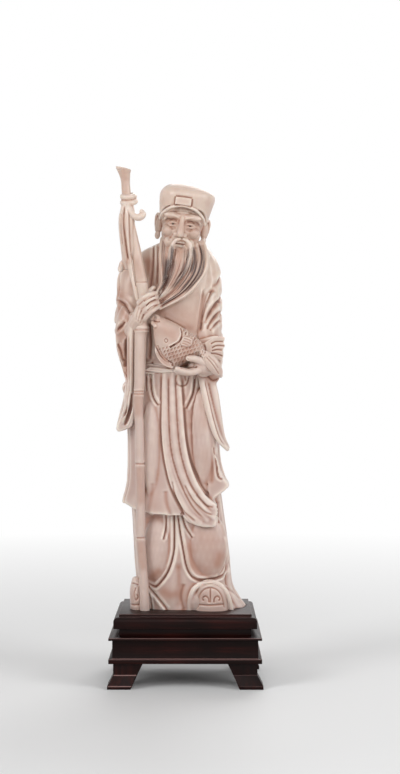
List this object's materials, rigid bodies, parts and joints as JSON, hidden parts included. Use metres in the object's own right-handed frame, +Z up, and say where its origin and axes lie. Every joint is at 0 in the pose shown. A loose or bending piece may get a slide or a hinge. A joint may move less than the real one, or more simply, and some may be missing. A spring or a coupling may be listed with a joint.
{
  "type": "okimono carving",
  "caption": "Standing carved figure of a bearded sage with a staff and a carp, in ivory-coloured sections pegged together, on a stepped dark hardwood stand.",
  "frame": {"origin": "on the floor under the middle of the stand", "axes": "+Z up, the figure faces -Y, +X to the viewer's right"},
  "size_m": [0.075, 0.064, 0.2532],
  "materials": {
    "ivory": "satin",
    "bone_peg": "matte",
    "dark_horn": "gloss",
    "dark_hardwood": "gloss",
    "dowel_wood": "matte"
  },
  "bodies": {
    "stand": {"top_board": "dark_hardwood", "plinth_panel": "dark_hardwood", "plinth_rail_front": "dark_hardwood", "plinth_rail_right": "dark_hardwood", "plinth_rail_back": "dark_hardwood", "plinth_rail_left": "dark_hardwood", "waist_rail_front": "dark_hardwood", "waist_rail_right": "dark_hardwood", "waist_rail_back": "dark_hardwood", "waist_rail_left": "dark_hardwood", "foot_front_left": "dark_hardwood", "foot_front_right": "dark_hardwood", "foot_back_right": "dark_hardwood", "foot_back_left": "dark_hardwood", "foot_dowels": "dowel_wood", "waist_dowels": "dowel_wood", "figure_pegs": "dowel_wood"},
    "figure": {"lower_robe": "ivory", "tunic": "ivory", "torso": "ivory", "right_sleeve": "ivory", "left_sleeve": "ivory", "head": "ivory", "cap": "ivory", "beard": "ivory", "right_hand": "ivory", "left_hand": "ivory", "carp": "ivory", "lower_staff": "ivory", "upper_staff": "ivory", "staff_bundle": "ivory", "staff_cord": "ivory", "left_shoe": "ivory", "right_shoe": "ivory", "body_pegs": "bone_peg", "neck_peg": "bone_peg", "staff_peg": "bone_peg", "hand_pegs": "bone_peg", "carp_peg": "bone_peg", "shoe_pegs": "bone_peg", "eye_inlays": "dark_horn"}
  },
  "joints": [
    {"name": "figure_lift", "type": "slide", "parent": "stand", "child": "figure", "axis": [0, 0, 1], "range_m": [0, 0.02]}
  ]
}
